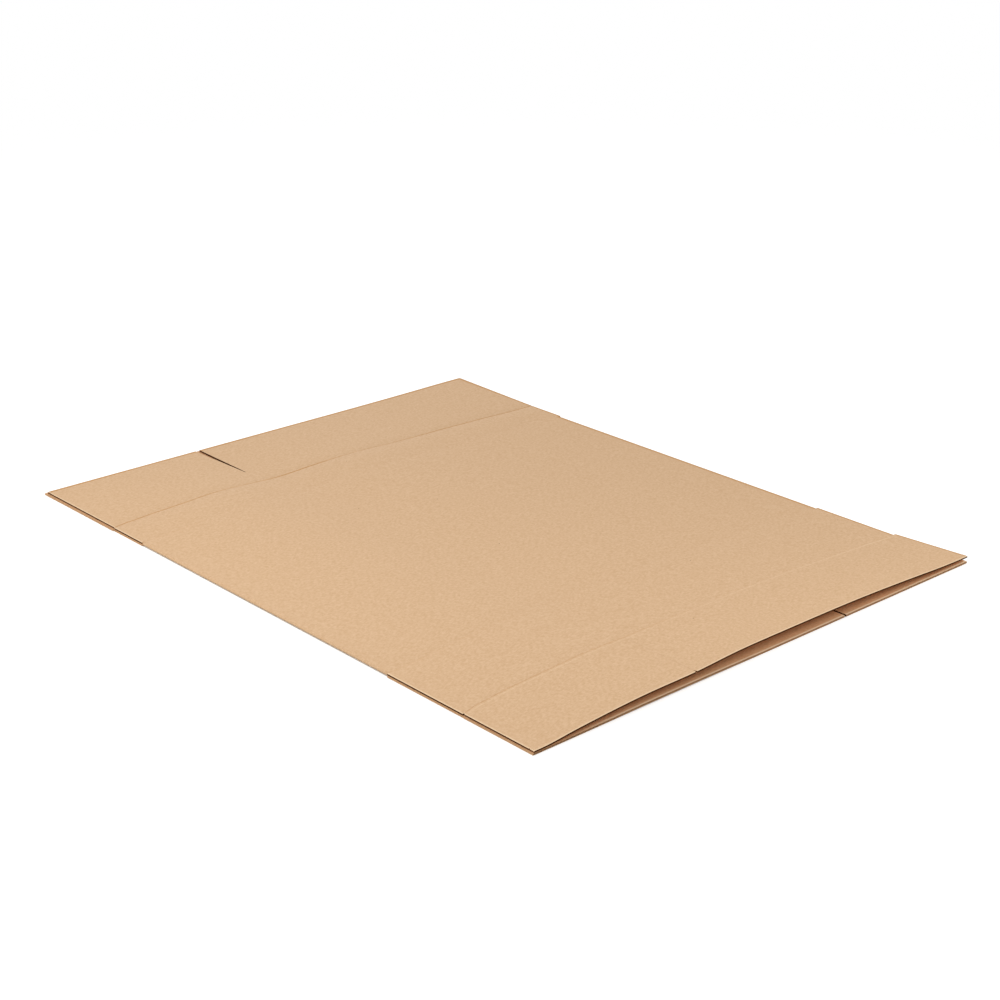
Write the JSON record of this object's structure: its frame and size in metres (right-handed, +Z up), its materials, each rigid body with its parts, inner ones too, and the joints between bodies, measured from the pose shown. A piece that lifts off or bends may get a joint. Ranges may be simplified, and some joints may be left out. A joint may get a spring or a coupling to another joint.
{
  "type": "flattened cardboard box",
  "caption": "Flattened shipping box: a slotted, creased sheet of brown corrugated board folded flat, its upper ply sprung a little above the lower one.",
  "frame": {"origin": "on the floor under the middle of the sheet's outline", "axes": "+X along the flutes and the longest side, +Y across the panels, +Z up from the floor"},
  "size_m": [1.1876, 0.905, 0.024],
  "materials": {
    "kraft_board": "uncoated brown kraft liner, matt, fine fibre mottling, fluted cut edges"
  },
  "bodies": {
    "root": {"flattened_box": "kraft_board"}
  },
  "joints": []
}
